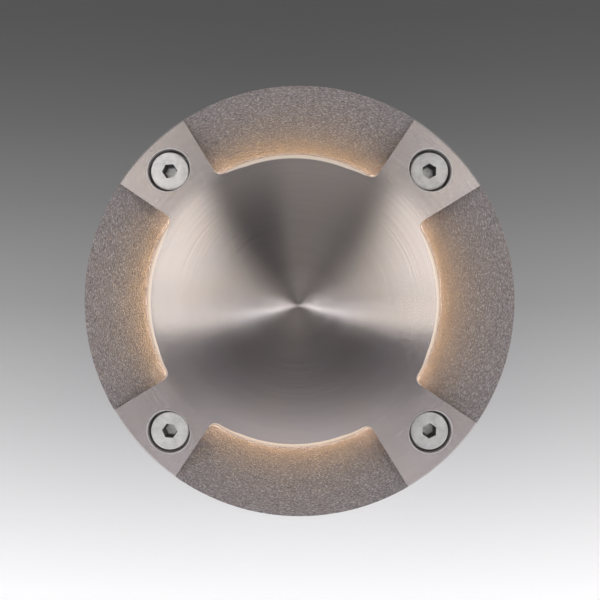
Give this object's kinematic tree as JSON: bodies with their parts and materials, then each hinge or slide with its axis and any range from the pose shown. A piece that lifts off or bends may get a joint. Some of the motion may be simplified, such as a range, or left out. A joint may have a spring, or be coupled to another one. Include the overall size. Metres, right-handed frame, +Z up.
{
  "type": "in ground well light",
  "caption": "Round ground light: turned steel dome on arms over cast ramps with light slots, over a sealed capsule in a ground sleeve.",
  "frame": {"origin": "centre of the light at ground level, in the plane where the sleeve's flange rests on the ground", "axes": "+Z up out of the ground; +X to the right and +Y to the top of the face as the picture shows it"},
  "size_m": [0.08, 0.08, 0.103],
  "materials": {
    "turned_steel": "turned face, cast ramps",
    "screw_steel": "satin",
    "frosted_window": "frosted, lit warm white",
    "reflector_metal": "semi-bright",
    "black_rubber": "matt",
    "nylon": "natural",
    "capsule_black": "fine powder coat",
    "clear_glass": "clear, toughened",
    "ring_steel": "brushed",
    "thermal_pad": "soft",
    "white_board": "solder mask",
    "light_source": "phosphor",
    "green_board": "solder mask",
    "capacitor_sleeve": "shrink sleeve",
    "black_component": "moulded",
    "terminal_plastic": "moulded",
    "lead_insulation": "silicone",
    "brass": "turned",
    "gland_plastic": "moulded nylon",
    "sleeve_plastic": "moulded, fine grain"
  },
  "bodies": {
    "sleeve": {"ground_sleeve": "sleeve_plastic", "threaded_inserts": "brass"},
    "capsule": {"capsule_housing": "capsule_black", "glass_gasket": "black_rubber", "glass_lens": "clear_glass", "retaining_ring": "ring_steel", "retaining_screws": "screw_steel", "thermal_pad": "thermal_pad", "led_board": "white_board", "led_emitter": "light_source", "led_reflector": "reflector_metal", "board_screws": "screw_steel", "driver_standoffs": "brass", "driver_board": "green_board", "driver_screws": "screw_steel", "driver_capacitors": "capacitor_sleeve", "driver_inductor": "black_component", "driver_chips": "black_component", "terminal_block": "terminal_plastic", "led_leads": "lead_insulation", "end_cap": "capsule_black", "end_cap_seal": "black_rubber", "end_cap_screws": "screw_steel", "gland_body": "gland_plastic", "gland_o_ring": "black_rubber", "gland_seal": "black_rubber"},
    "gland_nut": {"gland_nut": "gland_plastic"},
    "cover": {"top_cover": "turned_steel", "diffuser_ring": "frosted_window", "reflector_cone": "reflector_metal", "reflector_screw": "screw_steel", "cover_gasket": "black_rubber"},
    "washer_1": {"screw_washer_1": "nylon"},
    "screw_1": {"cover_screw_1": "screw_steel"},
    "washer_2": {"screw_washer_2": "nylon"},
    "screw_2": {"cover_screw_2": "screw_steel"},
    "washer_3": {"screw_washer_3": "nylon"},
    "screw_3": {"cover_screw_3": "screw_steel"},
    "washer_4": {"screw_washer_4": "nylon"},
    "screw_4": {"cover_screw_4": "screw_steel"}
  },
  "joints": [
    {"name": "capsule_lift", "type": "slide", "parent": "sleeve", "child": "capsule", "axis": [0, 0, 1], "range_m": [0, 0.075]},
    {"name": "gland_nut_turn", "type": "hinge", "parent": "capsule", "child": "gland_nut", "pos_m": [0, 0, -0.066], "axis": [0, 0, 1], "range_deg": [0, 720]},
    {"name": "cover_lift", "type": "slide", "parent": "capsule", "child": "cover", "axis": [0, 0, 1], "range_m": [0, 0.03]},
    {"name": "screw_1_rise", "type": "slide", "parent": "cover", "child": "washer_1", "axis": [0, 0, 1], "range_m": [0, 0.0098]},
    {"name": "screw_1_turn", "type": "hinge", "parent": "washer_1", "child": "screw_1", "pos_m": [0.02404, 0.02404, 0.004], "axis": [0, 0, 1], "range_deg": [0, 5040]},
    {"name": "screw_2_rise", "type": "slide", "parent": "cover", "child": "washer_2", "axis": [0, 0, 1], "range_m": [0, 0.0098]},
    {"name": "screw_2_turn", "type": "hinge", "parent": "washer_2", "child": "screw_2", "pos_m": [-0.02404, 0.02404, 0.004], "axis": [0, 0, 1], "range_deg": [0, 5040]},
    {"name": "screw_3_rise", "type": "slide", "parent": "cover", "child": "washer_3", "axis": [0, 0, 1], "range_m": [0, 0.0098]},
    {"name": "screw_3_turn", "type": "hinge", "parent": "washer_3", "child": "screw_3", "pos_m": [-0.02404, -0.02404, 0.004], "axis": [0, 0, 1], "range_deg": [0, 5040]},
    {"name": "screw_4_rise", "type": "slide", "parent": "cover", "child": "washer_4", "axis": [0, 0, 1], "range_m": [0, 0.0098]},
    {"name": "screw_4_turn", "type": "hinge", "parent": "washer_4", "child": "screw_4", "pos_m": [0.02404, -0.02404, 0.004], "axis": [0, 0, 1], "range_deg": [0, 5040]}
  ],
  "couplings": [
    {"joint": "screw_1_turn", "follows": "screw_1_rise", "rad_per_m": 8976},
    {"joint": "screw_2_turn", "follows": "screw_2_rise", "rad_per_m": 8976},
    {"joint": "screw_3_turn", "follows": "screw_3_rise", "rad_per_m": 8976},
    {"joint": "screw_4_turn", "follows": "screw_4_rise", "rad_per_m": 8976}
  ]
}
